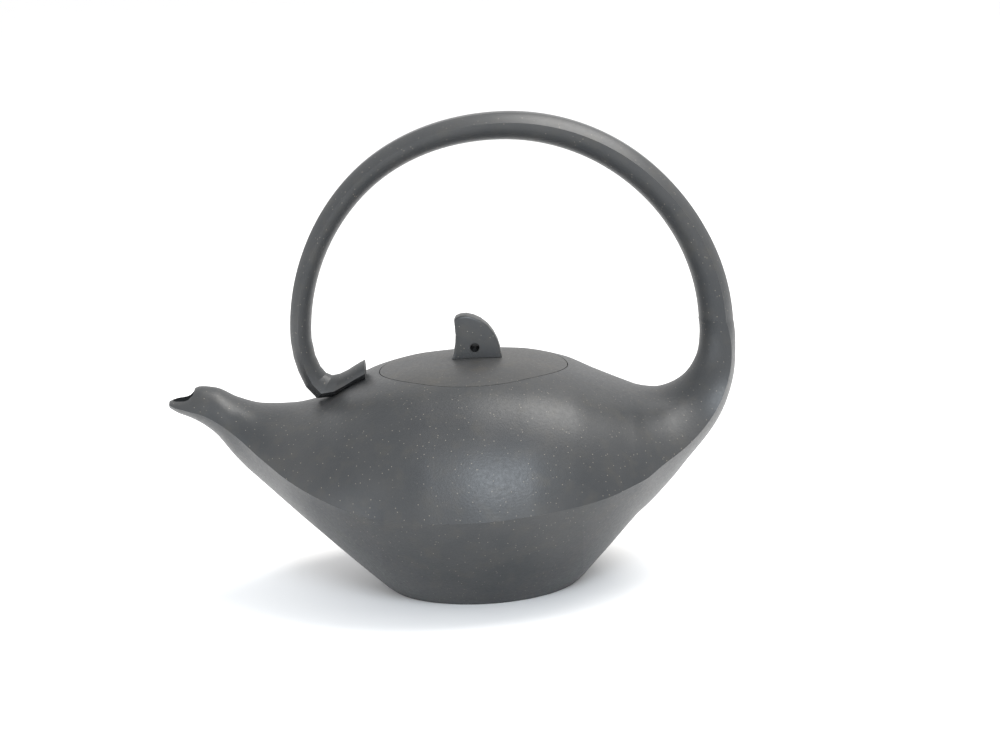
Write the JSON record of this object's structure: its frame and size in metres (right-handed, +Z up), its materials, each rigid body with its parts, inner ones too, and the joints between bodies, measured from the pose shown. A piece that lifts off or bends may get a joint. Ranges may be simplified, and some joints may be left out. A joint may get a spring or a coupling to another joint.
{
  "type": "teapot",
  "caption": "Unglazed clay teapot with a creased low body, a spout drawn from the shell, an overhead hoop handle and a flush lid with a fin knob.",
  "frame": {"origin": "centre of the foot's flat underside, on the table", "axes": "+X from the spout towards the handle, +Y away from the side seen in the picture, +Z up"},
  "size_m": [0.1863, 0.12, 0.1547],
  "materials": {
    "dark_clay": "satin",
    "lid_clay": "satin",
    "inner_clay": "matte"
  },
  "bodies": {
    "pot": {"foot_disc": "inner_clay", "lower_bowl": "dark_clay", "shoulder_shell": "dark_clay", "spout": "dark_clay", "strainer": "inner_clay", "mouth_ring": "inner_clay", "handle_root": "dark_clay", "handle_hoop": "dark_clay", "handle_tail": "dark_clay"},
    "lid": {"lid_cap": "lid_clay", "lid_flange": "inner_clay", "knob": "dark_clay"}
  },
  "joints": [
    {"name": "lid_lift", "type": "slide", "parent": "pot", "child": "lid", "axis": [0, 0, 1], "range_m": [0, 0.045]}
  ]
}
